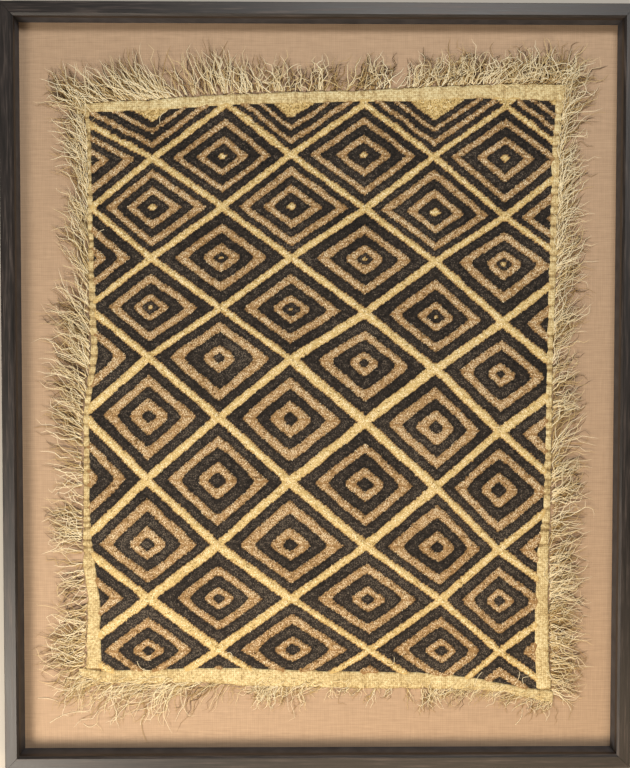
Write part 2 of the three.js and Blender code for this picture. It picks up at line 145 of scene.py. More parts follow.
RIGHT_LOCKS = np.array([
    (-362, -16, 44, 3.8, 1.7, 0.1), (-310, 4, 46, 4.0, 1.7, 0.0), (-270, 16, 46, 4.0, 1.6, 0.0),
    (-200, 30, 48, 4.6, 1.3, 0.0), (-120, 28, 46, 4.8, 1.5, 0.0), (-70, 48, 46, 4.8, 1.0, 0.0),
    (-40, 46, 46, 5.4, 1.1, 0.0), (-18, 22, 46, 5.6, 1.7, 0.0), (10, 46, 44, 6.8, 1.5, 0.0),
    (100, 48, 44, 6.4, 1.3, 0.0), (160, 52, 46, 6.0, 1.2, 0.0), (210, 56, 43, 4.8, 1.2, 0.0),
    (260, 56, 41, 4.3, 1.2, 0.0), (310, 52, 42, 4.1, 1.3, 0.0), (348, 42, 46, 3.9, 1.4, 0.0)])

# Loose threads: where each starts and ends, how high it lies, and how much it curls.
LOOSE_THREADS = np.array([
    (-186, 311, -179, 325, 9.6, 0.6), (-261, 178, -252, 188, 9.6, 0.4),
    (-216, -323, -201, -334, 9.6, -0.6), (-115, -316, -104, -324, 9.6, 1.8),
    (80, -327, 90, -319, 9.6, -1.2), (186, -355, 195, -337, 9.8, 0.3),
    (233, -353, 240, -337, 9.8, -0.3), (245, -352, 251, -343, 9.6, 1.4),
    (-321, -398, -275, -385, 6.6, 0.3), (-281, -399, -265, -399, 6.6, -0.7),
    (-249, -400, -236, -391, 6.6, 0.7), (-335, -368, -311, -372, 6.6, 0.2),
    (-213, -401, -201, -385, 6.6, 0.5), (236, -402, 244, -382, 6.6, -0.4)])


# Colours and nodes

def hex_colour(code):
    """An sRGB hex colour as linear RGBA."""
    parts = [int(code[start:start + 2], 16) / 255 for start in (1, 3, 5)]
    linear = [part / 12.92 if part <= 0.04045 else ((part + 0.055) / 1.055) ** 2.4 for part in parts]
    return (*linear, 1.0)


def add(tree, kind, inputs=None, stops=(), **settings):
    """One shader node, with its settings, its inputs linked or set, and a ramp's stops (place, hex)."""
    node = tree.nodes.new(kind)
    for key, value in settings.items():
        setattr(node, key, value)
    for socket, source in (inputs or {}).items():
        if isinstance(source, bpy.types.NodeSocket):
            tree.links.new(source, node.inputs[socket])
        else:
            node.inputs[socket].default_value = source
    if stops:
        elements = node.color_ramp.elements
        while len(elements) < len(stops):
            elements.new(1.0)
        for element, (place, code) in zip(elements, stops):
            element.position = place
            element.color = hex_colour(code)
    return node


def new_material(name):
    """A material with an empty node tree."""
    material = bpy.data.materials.new(name)
    material.use_nodes = True
    material.node_tree.nodes.clear()
    return material, material.node_tree


def humps_per_metre(size_mm):
    """The scale that gives a noise texture humps of a size."""
    return 1 / (size_mm * MM)


def bands_per_metre(pitch_mm):
    """The scale that gives a wave texture one band every pitch."""
    return math.pi / (10 * pitch_mm * MM)


# Materials

def cut_raffia(name, *stops):
    """Clipped raffia tufts: dull fibre ends, each tuft its own shade, with a faint velvet sheen."""
    material, tree = new_material(name)
    shade = add(tree, "ShaderNodeAttribute", attribute_name="shade")
    ramp = add(tree, "ShaderNodeValToRGB", {"Fac": shade.outputs["Fac"]}, stops)
    shader = add(tree, "ShaderNodeBsdfPrincipled", {
        "Base Color": ramp.outputs["Color"], "Roughness": 0.8, "Specular IOR Level": 0.15,
        "Sheen Weight": 0.04, "Sheen Roughness": 0.5})
    add(tree, "ShaderNodeOutputMaterial", {"Surface": shader.outputs["BSDF"]})
    return material


def raffia_strand():
    """Loose raffia: a thin leaf strip, slightly glossy, straw to bleached; its dark browns are painted
    shade.
    """
    material, tree = new_material("raffia_fibre")
    shade = add(tree, "ShaderNodeAttribute", attribute_name="shade")
    ramp = add(tree, "ShaderNodeValToRGB", {"Fac": shade.outputs["Fac"]}, (
        (0.0, "#3c2912"), (0.3, "#a58651"), (0.6, "#dec792"), (1.0, "#fff4d2")))
    shader = add(tree, "ShaderNodeBsdfPrincipled", {
        "Base Color": ramp.outputs["Color"], "Roughness": 0.5, "Specular IOR Level": 0.4})
    add(tree, "ShaderNodeOutputMaterial", {"Surface": shader.outputs["BSDF"]})
    return material


def woven_raffia():
    """Plain-woven raffia of the hems: pale straw strips crossing; painted shade in the gaps and at the
    ties.

    The strips are about 1 mm wide, and their fibres finer. Both are drawn at about 2.3 mm to show.
    """
    material, tree = new_material("woven_raffia")
    place = add(tree, "ShaderNodeTexCoord").outputs["Object"]
    lines = {
        "Vector": place, "Scale": bands_per_metre(2.3), "Distortion": 1.2, "Detail": 1.0,
        "Detail Scale": 0.4}
    warp, weft = [
        add(tree, "ShaderNodeTexWave", lines, bands_direction=way).outputs["Fac"] for way in "XY"]
    weave = add(tree, "ShaderNodeMath", {0: warp, 1: weft}, operation="MULTIPLY")
    fibre = add(tree, "ShaderNodeTexNoise", {
        "Vector": place, "Scale": humps_per_metre(2.38), "Detail": 3.0})
    # The weave lowers the tone in the gaps between strips, and the shade attribute at ties and tucks:
    # painted shade.
    thread = add(tree, "ShaderNodeMath", {0: weave.outputs[0], 1: 0.2, 2: fibre.outputs["Fac"]},
                 operation="MULTIPLY_ADD")
    shade = add(tree, "ShaderNodeAttribute", attribute_name="shade")
    tone = add(tree, "ShaderNodeMath", {0: thread.outputs[0], 1: shade.outputs["Fac"]},
               operation="MULTIPLY")
    ramp = add(tree, "ShaderNodeValToRGB", {"Fac": tone.outputs[0]}, (
        (0.15, "#705a35"), (0.38, "#bfa877"), (0.56, "#dfd0a0"), (0.78, "#f2e8c2")))
    bump = add(tree, "ShaderNodeBump", {"Height": weave.outputs[0], "Strength": 0.6, "Distance": 0.6 * MM})
    shader = add(tree, "ShaderNodeBsdfPrincipled", {
        "Base Color": ramp.outputs["Color"], "Normal": bump.outputs["Normal"], "Roughness": 0.7,
        "Specular IOR Level": 0.3})
    add(tree, "ShaderNodeOutputMaterial", {"Surface": shader.outputs["BSDF"]})
    return material


def dye_and_painted_shade_ground():
    """The foot of the pile between the tufts: each band's own dye, darker than its tufts as painted shade.
    """
    material, tree = new_material("raffia_ground_dye_and_painted_shade")
    shade = add(tree, "ShaderNodeAttribute", attribute_name="shade")
    ramp = add(tree, "ShaderNodeValToRGB", {"Fac": shade.outputs["Fac"]}, (
        (0.15, "#18130f"), (0.5, "#957449"), (1.0, "#c9ad71")))
    shader = add(tree, "ShaderNodeBsdfPrincipled", {"Base Color": ramp.outputs["Color"], "Roughness": 0.9})
    add(tree, "ShaderNodeOutputMaterial", {"Surface": shader.outputs["BSDF"]})
    return material


def linen_on_board():
    """Natural linen, plain woven with slubs, glued over a board; the board's back is bare grey card.

    Linen threads are about 0.6 mm apart, with slubs 25 mm long. The threads are drawn at 2.4 mm to show.
    """
    material, tree = new_material("natural_linen")
    place = add(tree, "ShaderNodeTexCoord").outputs["Object"]
    lines = {
        "Vector": place, "Scale": bands_per_metre(2.4), "Distortion": 2.5, "Detail": 2.0,
        "Detail Scale": 0.3}
    warp, weft = [
        add(tree, "ShaderNodeTexWave", lines, bands_direction=way).outputs["Fac"] for way in "XY"]
    weave = add(tree, "ShaderNodeMath", {0: warp, 1: weft}, operation="ADD")
    slub_long, slub_wide = humps_per_metre(25), humps_per_metre(2.38)
    slubs = []
    for stretch in ((slub_long, slub_wide, 1.0), (slub_wide, slub_long, 1.0)):
        long_way = add(tree, "ShaderNodeMapping", {"Vector": place, "Scale": stretch})
        slubs.append(add(tree, "ShaderNodeTexNoise", {
            "Vector": long_way.outputs["Vector"], "Scale": 1.0, "Detail": 3.0}).outputs["Fac"])
    slub = add(tree, "ShaderNodeMath", {0: slubs[1], 1: 0.6, 2: slubs[0]}, operation="MULTIPLY_ADD")
    thread = add(tree, "ShaderNodeMath", {0: weave.outputs[0], 1: 0.1}, operation="MULTIPLY")
    tone = add(tree, "ShaderNodeMath", {0: slub.outputs[0], 1: 0.62, 2: thread.outputs[0]},
               operation="MULTIPLY_ADD")
    ramp = add(tree, "ShaderNodeValToRGB", {"Fac": tone.outputs[0]}, (
        (0.3, "#a48b73"), (0.85, "#bea388")))
    normal = add(tree, "ShaderNodeNewGeometry").outputs["Normal"]
    up = add(tree, "ShaderNodeSeparateXYZ", {"Vector": normal}).outputs["Z"]
    is_back = add(tree, "ShaderNodeMath", {0: up, 1: -0.5}, operation="LESS_THAN")
    card = add(tree, "ShaderNodeMix", {
        "Factor": is_back.outputs[0], 6: ramp.outputs["Color"], 7: hex_colour("#8d8679")}, data_type="RGBA")
    bump = add(tree, "ShaderNodeBump", {"Height": tone.outputs[0], "Strength": 0.3, "Distance": 0.3 * MM})
    shader = add(tree, "ShaderNodeBsdfPrincipled", {
        "Base Color": card.outputs[2], "Normal": bump.outputs["Normal"], "Roughness": 0.9,
        "Specular IOR Level": 0.2})
    add(tree, "ShaderNodeOutputMaterial", {"Surface": shader.outputs["BSDF"]})
    return material


# Pores of open-grained wood are about 0.3 mm wide. They are drawn wider so that they show.
GRAIN_LONG, GRAIN_WIDE = 55.6, 2.38


def stained_wood(name, grain_size):
    """Open-grained hardwood under a near-black stain and a satin finish: grain lines catch the light."""
    material, tree = new_material(name)
    place = add(tree, "ShaderNodeTexCoord").outputs["Object"]
    grain_way = add(tree, "ShaderNodeMapping", {
        "Vector": place, "Scale": [humps_per_metre(size) for size in grain_size]})
    grain = add(tree, "ShaderNodeTexNoise", {
        "Vector": grain_way.outputs["Vector"], "Scale": 1.0, "Detail": 6.0, "Roughness": 0.65})
    ramp = add(tree, "ShaderNodeValToRGB", {"Fac": grain.outputs["Fac"]}, (
        (0.36, "#14110f"), (0.52, "#27211f"), (0.7, "#4c433e")))
    rough = add(tree, "ShaderNodeMapRange", {0: grain.outputs["Fac"], 3: 0.34, 4: 0.6})
    bump = add(tree, "ShaderNodeBump", {
        "Height": grain.outputs["Fac"], "Strength": 0.4, "Distance": 0.4 * MM})
    shader = add(tree, "ShaderNodeBsdfPrincipled", {
        "Base Color": ramp.outputs["Color"], "Roughness": rough.outputs[0],
        "Normal": bump.outputs["Normal"]})
    add(tree, "ShaderNodeOutputMaterial", {"Surface": shader.outputs["BSDF"]})
    return material


def painted_spacer():
    """Charcoal-painted strip between lip and linen: matt, brushed on, faintly uneven every 17 mm or so."""
    material, tree = new_material("charcoal_paint")
    place = add(tree, "ShaderNodeTexCoord").outputs["Object"]
    brush = add(tree, "ShaderNodeTexNoise", {
        "Vector": place, "Scale": humps_per_metre(16.7), "Detail": 4.0})
    ramp = add(tree, "ShaderNodeValToRGB", {"Fac": brush.outputs["Fac"]}, (
        (0.3, "#34353a"), (0.7, "#4a4a4e")))
    shader = add(tree, "ShaderNodeBsdfPrincipled", {
        "Base Color": ramp.outputs["Color"], "Roughness": 0.6, "Specular IOR Level": 0.4})
    add(tree, "ShaderNodeOutputMaterial", {"Surface": shader.outputs["BSDF"]})
    return material


# Meshes from arrays

def mesh_piece(name, points, face_sets, materials, shade=None, planar=False):
    """A mesh object from points and arrays of faces, with a material for each array.

    Further arrays have the last material. A shade is kept for each point, and a planar piece is mapped
    from above.
    """
    mesh = bpy.data.meshes.new(name)
    mesh.vertices.add(len(points))
    mesh.vertices.foreach_set("co", (np.asarray(points) * MM).ravel())
    corners = np.concatenate([faces.ravel() for faces in face_sets])
    sides = np.concatenate([np.full(len(faces), faces.shape[1]) for faces in face_sets])
    mesh.loops.add(len(corners))
    mesh.loops.foreach_set("vertex_index", corners.astype(np.int32))
    mesh.polygons.add(len(sides))
    mesh.polygons.foreach_set("loop_start", (np.cumsum(sides) - sides).astype(np.int32))
    slots = np.concatenate([np.full(len(faces), number) for number, faces in enumerate(face_sets)])
    for material in materials:
        mesh.materials.append(material)
    mesh.polygons.foreach_set("material_index", np.minimum(slots, len(materials) - 1).astype(np.int32))
    mesh.polygons.foreach_set("use_smooth", np.ones(len(sides), bool))
    mesh.update(calc_edges=True)
    if shade is not None:
        mesh.attributes.new("shade", "FLOAT", "POINT").data.foreach_set("value", shade.astype(np.float32))
    if planar:
        flat = np.asarray(points)[:, :2]
        unit = (flat - flat.min(0)) / np.ptp(flat, axis=0)
        bake = mesh.uv_layers.new(name="OFBake")
        bake.uv.foreach_set("vector", unit[corners].astype(np.float32).ravel())
    piece = bpy.data.objects.new(name, mesh)
    bpy.context.scene.collection.objects.link(piece)
    return piece


def soft_noise(x, y, size, seed):
    """Smooth unevenness, mostly from -1 to 1, with humps about one size across."""
    rng = np.random.default_rng(seed)
    total = 0
    for _ in range(5):
        turn = rng.uniform(0, 2 * np.pi)
        length = size * rng.uniform(1.4, 2.8)
        phase = rng.uniform(0, 6.3)
        total = total + np.sin(2 * np.pi * (x * np.cos(turn) + y * np.sin(turn)) / length + phase)
    return total / 3


def edge(hem, at, side):
    """The outer or inner edge of a hem at a place along it."""
    return np.interp(at, hem[:, 0], hem[:, side])


# The diamond pattern

# How far blunt corners are pulled in, and the share of that at the upright corners.
BLUNT_GAIN = 6
UPRIGHT_BLUNT = 0.4


def lattice_point(row, column):
    """Where a row and a column of the lattice cross."""
    heights = ROWS[row - FIRST_ROW]
    top, bottom = COLUMNS[column - FIRST_COLUMN]
    x = top + (bottom - top) * (LATTICE_TOP - heights["mid"]) / (LATTICE_TOP - LATTICE_BOTTOM)
    x += heights["shift"]
    side = heights["left"] if x < 0 else heights["right"]
    y = heights["mid"] + (side - heights["mid"]) * abs(x) / ROW_SIDE
    return np.array([x, y]) + POINT_STEP.get((row, column), (0, 0))


def place_in_diamonds(points):
    """For each point: its diamond's row, its share of the way out, and how far off the level axis it is."""
    row_of = np.zeros(len(points), int)
    share = np.ones(len(points))
    seam = np.ones(len(points))
    for row in range(FIRST_ROW + 1, LAST_ROW):
        blunt = ROWS[row - FIRST_ROW]["blunt"]
        for column in range(FIRST_COLUMN + 1, FIRST_COLUMN + len(COLUMNS) - 1):
            if (row + column) % 2 == 0:
                continue
            larger = RING_SCALE.get((row, column), 1) - 1
            centre = lattice_point(row, column)
            around = [(row - 1, column), (row, column - 1), (row + 1, column), (row, column + 1)]
            arms = np.array([lattice_point(*place) for place in around]) - centre
            from_centre = points - centre
            near = np.flatnonzero((from_centre >= arms.min(0)).all(1) & (from_centre <= arms.max(0)).all(1))
            x, y = from_centre[near].T
            for number, (a, b) in enumerate(zip(arms, np.roll(arms, -1, axis=0))):
                turn = a[0] * b[1] - a[1] * b[0]
                on_a = (x * b[1] - y * b[0]) / turn
                on_b = (a[0] * y - a[1] * x) / turn
                inside = (on_a >= 0) & (on_b >= 0) & (on_a + on_b <= 1)
                hit = near[inside]
                row_of[hit] = RINGS_LIKE.get((row, column), row)
                out = (on_a + on_b)[inside]
                level, upright = (on_a, on_b) if number % 2 else (on_b, on_a)
                # The corners of the rings are pulled in, the level ones most, and more so near the centre.
                to_side = (level - upright)[inside] / np.maximum(out, 1e-6)
                corner = np.where(to_side > 0, 1, UPRIGHT_BLUNT) * to_side ** 4
                blunted = 1 + BLUNT_GAIN * blunt * (1 - out) ** 2 * corner
                share[hit] = out * blunted * (1 - larger * (1 - out ** 6))
                seam[hit] = upright[inside]
    return row_of, share, seam


DARK, TAN, STRAW = 0, 1, 2


def bands(row_of, share):
    """Which colour of pile stands at each point, and how far up its ridge the point is (0 to 1)."""
    column = {name: np.array([row[name] for row in ROWS])[row_of - FIRST_ROW] for name in ROW_COLUMNS}
    outer_from, outer_to = column["outer_from"] - TUFT_SHARE, column["outer_to"] + TUFT_SHARE
    inner_from, inner_to = column["inner_from"] - TUFT_SHARE, column["inner_to"] + TUFT_SHARE
    lattice = column["lattice"] + TUFT_SHARE
    heart = np.where(column["straw_heart"] == 1, column["heart"], -inner_to)
    band = np.full(len(share), DARK)
    ridge = np.zeros(len(share))
    for first, last, colour in (
        (heart, inner_to, DARK),
        (inner_to, inner_from, TAN),
        (inner_from, outer_to, DARK),
        (outer_to, outer_from, TAN),
        (outer_from, lattice, DARK),
        (lattice, 2 - lattice, STRAW),
        (-heart, heart, STRAW),
    ):
        inside = (share > first) & (share <= last)
        across = (share - first) / np.where(inside, last - first, 1)
        band[inside] = colour
        ridge[inside] = (1 - (2 * across - 1) ** 2)[inside]
    return band, ridge


# Pile

# How far the bands waver, as a share of the way out, with the size and the seed of the waves.
BAND_WAVERS = ((0.009, 16, 1), (0.007, 4, 3))
PILE_SPAN_X = (-285, 295)
PILE_SPAN_Y = (-375, 360)
TUFT_PITCH = 1.5
TUFT_JITTER = 0.55
TUFT_SPREAD = 1.15
TUFT_SINK = 0.1
TUFT_STAND = 0.65
TIP_ASIDE = 0.35
TIP_UNEVEN = 0.35
SEAM_SHARE = 0.014
SEAM_PAINTED_SHADE = 0.4
SEAM_DEEP = 0.4
STROKE_LONG = 4.4
STROKE_HIGH = 2.1
PILE_BODY = CLOTH_BACK + 1.0
RIDGE_RISE = np.array([0.45, 1.4, 1.65])
PILE_SEED = 5
PATCH_SIZE, PATCH_SEED = 55, 2
# Tone of black, tan and straw pile on top of a ridge, then how much it changes with patches, with height on
# the cloth and the way above and below its middle, which partly paints the fall of light across the cloth,
# with strokes and tufts, and at the foot of a ridge, where the drop is painted shade in the valley.
TONE_COLUMNS = "ridge_top patch height above below stroke tuft foot".split()
PILE_TONES = [dict(zip(TONE_COLUMNS, row)) for row in (
    (0.57, 0.16, -0.0004, 0.0, 0.0, 0.15, 0.18, -0.5),
    (0.68, 0.08, 0.0, -0.0004, -0.0004, 0.17, 0.3, -0.36),
    (0.73, 0.06, 0.0, -0.0007, -0.0005, 0.16, 0.28, -0.36))]
ABOVE_FROM, BELOW_FROM = 30, -60


def pattern_at(x, y):
    """Colour, place on its ridge, height and nearness to a ring's corner seam at points of the pile."""
    row_of, share, seam = place_in_diamonds(np.column_stack([x, y]))
    for waver, size, seed in BAND_WAVERS:
        share = share + waver * soft_noise(x, y, size, seed)
    band, ridge = bands(row_of, share)
    return band, ridge, PILE_BODY + RIDGE_RISE[band] * ridge, seam


def pile_points(rng):
    """The stitch grid inside the hems, each stitch a little out of line."""
    x, y = np.meshgrid(np.arange(*PILE_SPAN_X, TUFT_PITCH), np.arange(*PILE_SPAN_Y, TUFT_PITCH))
    x[1::2] += TUFT_PITCH / 2
    points = np.column_stack([x.ravel(), y.ravel()])
    points += rng.uniform(-TUFT_JITTER, TUFT_JITTER, points.shape)
    x, y = points.T
    inside = (x > edge(LEFT_HEM, y, INNER)) & (x < edge(RIGHT_HEM, y, INNER))
    inside &= (y < edge(TOP_HEM, x, INNER)) & (y > edge(BOTTOM_HEM, x, INNER))
    return points[inside]


def tufts(name, points, height, tip_height, shade, material, rng):
    """Small three-sided points, rooted along the slope of their ridge, each leaning its own way."""
    count = len(points)
    turn = rng.uniform(0, 2 * np.pi, count)[:, None] + np.array([0, 2, 4]) * np.pi / 3
    corners = np.empty((count, 4, 3))
    corners[:, :3, 0] = points[:, :1] + TUFT_SPREAD * np.cos(turn)
    corners[:, :3, 1] = points[:, 1:] + TUFT_SPREAD * np.sin(turn)
    _, _, around, _ = pattern_at(corners[:, :3, 0].ravel(), corners[:, :3, 1].ravel())
    corners[:, :3, 2] = np.minimum(around.reshape(-1, 3), height[:, None]) - TUFT_SINK
    corners[:, 3, :2] = points + rng.normal(0, TIP_ASIDE, points.shape)
    corners[:, 3, 2] = tip_height
    faces = np.array([(0, 1, 3), (1, 2, 3), (2, 0, 3)])
    faces = (4 * np.arange(count)[:, None, None] + faces).reshape(-1, 3)
    return mesh_piece(name, corners.reshape(-1, 3), [faces], [material], np.repeat(shade, 4), planar=True)


def stroke_shade(x, y, rng):
    """A shade for each short level stroke of stitches, shared by the few tufts in it."""
    line = np.floor(y / STROKE_HIGH).astype(int)
    line -= line.min()
    shift = rng.uniform(0, STROKE_LONG, line.max() + 1)
    place = np.floor((x + shift[line]) / STROKE_LONG).astype(int)
    place -= place.min()
    return rng.normal(0, 1, (line.max() + 1, place.max() + 1))[line, place]


def make_pile():
    """The cut pile, a piece for each colour, with the black in an upper and a lower half."""
    rng = np.random.default_rng(PILE_SEED)
    points = pile_points(rng)
    x, y = points.T
    band, ridge, height, seam = pattern_at(x, y)
    around = {
        "patch": soft_noise(x, y, PATCH_SIZE, PATCH_SEED),
        "height": y,
        "above": np.maximum(y - ABOVE_FROM, 0),
        "below": np.maximum(BELOW_FROM - y, 0),
        "stroke": stroke_shade(x, y, rng),
        "tuft": rng.normal(0, 1, len(x)),
        # Lower tone towards a band's edges: painted shade at the foot of each ridge.
        "foot": 1 - ridge,
    }
    shade = np.choose(band, [
        tone["ridge_top"] + sum(tone[name] * value for name, value in around.items())
        for tone in PILE_TONES])
    # Tan tufts on a ring's corner seam sit lower, and are darkened as painted shade in the seam's groove.
    in_seam = (seam < SEAM_SHARE) & (band == TAN)
    shade[in_seam] -= SEAM_PAINTED_SHADE
    height[in_seam] -= SEAM_DEEP
    tip = height + TUFT_STAND * rng.normal(1, TIP_UNEVEN, len(x))
    shade = np.clip(shade, 0, 1)
    black = cut_raffia("black_cut_raffia", (0.0, "#12100e"), (0.5, "#39322c"), (1.0, "#70665a"))
    tan = cut_raffia("tan_cut_raffia",
                     (0.0, "#503c24"), (0.3, "#a68a5f"), (0.6, "#c8ae87"), (1.0, "#e6d8b7"))
    straw = cut_raffia("straw_cut_raffia",
                       (0.0, "#7c653a"), (0.35, "#c8b37c"), (0.7, "#e2d19e"), (1.0, "#f4eac7"))
    return [tufts(name, points[chosen], height[chosen], tip[chosen], shade[chosen], finish, rng)
            for name, chosen, finish in (
                ("pile_black_upper", (band == DARK) & (y > 0), black),
                ("pile_black_lower", (band == DARK) & (y <= 0), black),
                ("pile_tan", band == TAN, tan),
                ("pile_straw", band == STRAW, straw))]


# Cloth sheet with its hems

# Across a hem, from under its outer edge over the top to the pile, and how high, as shares.
HEM_SECTION = np.array([
    (0.02, 0.0), (-0.02, 0.3), (0.06, 0.7), (0.2, 0.94), (0.45, 1.0), (0.72, 0.96), (0.9, 0.86),
    (1.0, 0.62), (1.0, 0.0)])
FOLD_SECTION = np.array([
    (0.02, 0.0), (-0.02, 0.3), (0.06, 0.7), (0.2, 0.94), (0.48, 0.98), (0.62, 0.84), (0.68, 1.0),
    (0.78, 0.98), (0.92, 0.84), (1.0, 0.6), (1.0, 0.0)])
HEM_STEP = 1.5
HEM_WAVER = 0.7
HEM_SEED = 40
HEM_LAP = 3.0
TIE_WIDE = 1.8
TIE_UNEVEN = (0.5, 1.5)
MOST_TIES = 100
FLAT_FADE, FLAT_PULL = 20, 0.2
HEM_TUCK = 9.0
HEM_FULL = 0.92
# How far a tie draws in the outer and the inner edge, as shares of the width.
DRAWN_OUTER, DRAWN_INNER = 0.1, 0.08
# How much flatter a hem is where a tie draws it in, and where it is tucked under, and how much darker it is
# painted there: painted shade in a tie's groove, and painted shadow under the bottom hem's edge.
DRAWN_FLAT, DRAWN_PAINTED_SHADE = 0.3, 0.4
TUCKED_FLAT, TUCKED_PAINTED_SHADOW = 0.4, 0.5


def hem_strip(hem, upright, section, tie_spacing, pull, flat_to, tone, seed):
    """One folded hem as rings of points along it, uneven, and drawn in at each tie of its sewing.

    Up to flat_to along it the hem is hardly drawn in. A side hem starts tucked under the bottom one.
    """
    along = np.arange(hem[0, 0], hem[-1, 0] + HEM_STEP / 2, HEM_STEP)
    level = 0 * along
    rng = np.random.default_rng(seed)
    ties = hem[0, 0] + np.cumsum(tie_spacing * rng.uniform(*TIE_UNEVEN, MOST_TIES))
    tight = pull * np.interp(along, (flat_to - FLAT_FADE, flat_to + FLAT_FADE), (FLAT_PULL, 1.0))
    drawn = tight * np.exp(-(abs(along[:, None] - ties).min(1) / TIE_WIDE) ** 2)
    outer = edge(hem, along, OUTER) + HEM_WAVER * soft_noise(along, level, 11, seed + 1)
    inner = edge(hem, along, INNER) + HEM_WAVER * soft_noise(along, level, 13, seed + 2)
    pulled = drawn * (inner - outer)
    outer, inner = outer + DRAWN_OUTER * pulled, inner - DRAWN_INNER * pulled
    tucked = np.clip((hem[0, 0] + HEM_TUCK - along) / HEM_STEP, 0, 1) * upright
    across, up = section.T
    off = outer[:, None] + (inner - outer)[:, None] * across
    puffed = HEM_FULL + 0.06 * soft_noise(along, level, 7, seed)
    puffed = puffed - DRAWN_FLAT * drawn - TUCKED_FLAT * tucked
    high = CLOTH_BACK + HEM_THICK * up * puffed[:, None]
    place = np.broadcast_to(along[:, None], off.shape)
    flat = (off, place) if upright else (place, off)
    points = np.stack([*flat, high], axis=-1)
    shade = tone + 0.07 * soft_noise(*flat, 6, seed + 3) + 0.07 * soft_noise(*flat, 28, seed + 4)
    # Ties and the tucked end are darkened: painted shade in the grooves and painted shadow under the bottom
    # hem.
    shade = shade - (DRAWN_PAINTED_SHADE * drawn + TUCKED_PAINTED_SHADOW * tucked)[:, None]
    count = len(section)
    ring = np.arange(count)
    after = np.roll(ring, -1)
    step = count * np.arange(len(along) - 1)[:, None]
    corners = step + ring, step + after, step + count + after, step + count + ring
    quads = np.stack(corners, axis=-1).reshape(-1, 4)
    ends = [ring[::-1], count * (len(along) - 1) + ring]
    if (outer[0] > inner[0]) != upright:
        quads = quads[:, ::-1]
        ends = [end[::-1] for end in ends]
    return points.reshape(-1, 3), quads, ends, shade.ravel()


# The grid of the pile's body starts as a rough rectangle and is fitted to the hems in a few rounds.
GROUND_COLUMNS, GROUND_ROWS = 246, 306
ROUGH_WIDTH, ROUGH_LENGTH = 570, 690
FITTING_ROUNDS = 4


def pile_body():
    """The woven ground with its pile as one closed sheet, ridged along the bands and lapped by the hems."""
    across, up = np.meshgrid(np.linspace(0, 1, GROUND_COLUMNS), np.linspace(0, 1, GROUND_ROWS))
    x, y = ROUGH_WIDTH * (across - 0.5), ROUGH_LENGTH * (up - 0.5)
    for _ in range(FITTING_ROUNDS):
        left, right = edge(LEFT_HEM, y, INNER) - HEM_LAP, edge(RIGHT_HEM, y, INNER) + HEM_LAP
        x = left + (right - left) * across
        low, high = edge(BOTTOM_HEM, x, INNER) - HEM_LAP, edge(TOP_HEM, x, INNER) + HEM_LAP
        y = low + (high - low) * up
    band, _, height, _ = pattern_at(x.ravel(), y.ravel())
    face_points = np.column_stack([x.ravel(), y.ravel(), height])
    index = np.arange(x.size).reshape(x.shape)
    corners = index[:-1, :-1], index[:-1, 1:], index[1:, 1:], index[1:, :-1]
    face = np.stack(corners, axis=-1).reshape(-1, 4)
    rim = np.concatenate([index[0, :-1], index[:-1, -1], index[-1, :0:-1], index[:0:-1, 0]])
    foot = x.size + np.arange(len(rim))
    foot_points = face_points[rim] * (1, 1, 0) + (0, 0, CLOTH_BACK)
    walls = np.stack([foot, np.roll(foot, -1), np.roll(rim, -1), rim], axis=-1)
    points = np.concatenate([face_points, foot_points])
    shade = np.concatenate([band / 2, np.zeros(len(rim))])
    return points, [np.concatenate([face, walls]), foot[None, ::-1]], shade


def make_cloth():
    """The sheet of cloth: the pile's body and the four hems round it, in one mesh."""
    points, ground, shade = pile_body()
    all_points, all_shades, woven, ends = [points], [shade], [], []
    start = len(points)
    # Each hem, whether it runs upright, its section, the spacing of its ties, how hard they pull, up to
    # where it is flat, and its tone, set lower on the left and the bottom as painted shade.
    for number, hem_look in enumerate((
        (LEFT_HEM, True, HEM_SECTION, 13, 1.0, -200, 0.79),
        (RIGHT_HEM, True, HEM_SECTION, 14, 1.0, -190, 0.84),
        (TOP_HEM, False, FOLD_SECTION, 26, 0.4, -400, 0.84),
        (BOTTOM_HEM, False, HEM_SECTION, 30, 0.3, -400, 0.79),
    )):
        strip, quads, caps, strip_shade = hem_strip(*hem_look, HEM_SEED + 6 * number)
        all_points.append(strip)
        all_shades.append(strip_shade)
        woven.append(quads + start)
        ends.extend(cap[None] + start for cap in caps)
        start += len(strip)
    ground_dye_and_shade, weave = dye_and_painted_shade_ground(), woven_raffia()
    sets = [*ground, np.concatenate(woven), *ends]
    return mesh_piece("kuba_cloth_sheet", np.concatenate(all_points), sets,
                      [ground_dye_and_shade, ground_dye_and_shade, weave], np.concatenate(all_shades))


# Fringe

STRAND_POINTS = 12
STRAND_SIDES = 3
STRAND_RADIUS = (0.38, 0.66)
STRANDS_IN_CLUMP = (3, 11)
SPACING_UNEVEN = (0.3, 1.3)
CLUMP_LENGTH, STRAND_LENGTH = (0.75, 1.15), (0.7, 1.12)
ROOT_SCATTER = 1.1
ROOT_TUCK = 2.0
ROOT_OVER_HEM = (3, 13)
LEAN_SCATTER = 10
STRAY_LEAN, STRAY_SHARE = 40, 0.07
MOST_LEAN = 72
CLUMP_BEND, STRAND_BEND = 17, 13
CRIMP = 19
# Shape and scale of the gamma draws for how much a strand waves, and how far clumps and strands lift.
WAVE = (2.0, 8.0)
CLUMP_LIFT, STRAND_LIFT = (2.0, 1.4), (1.4, 0.9)
OVER_HEM_LIFT = 0.4
ARCH_TURN = (0.35, 0.9)
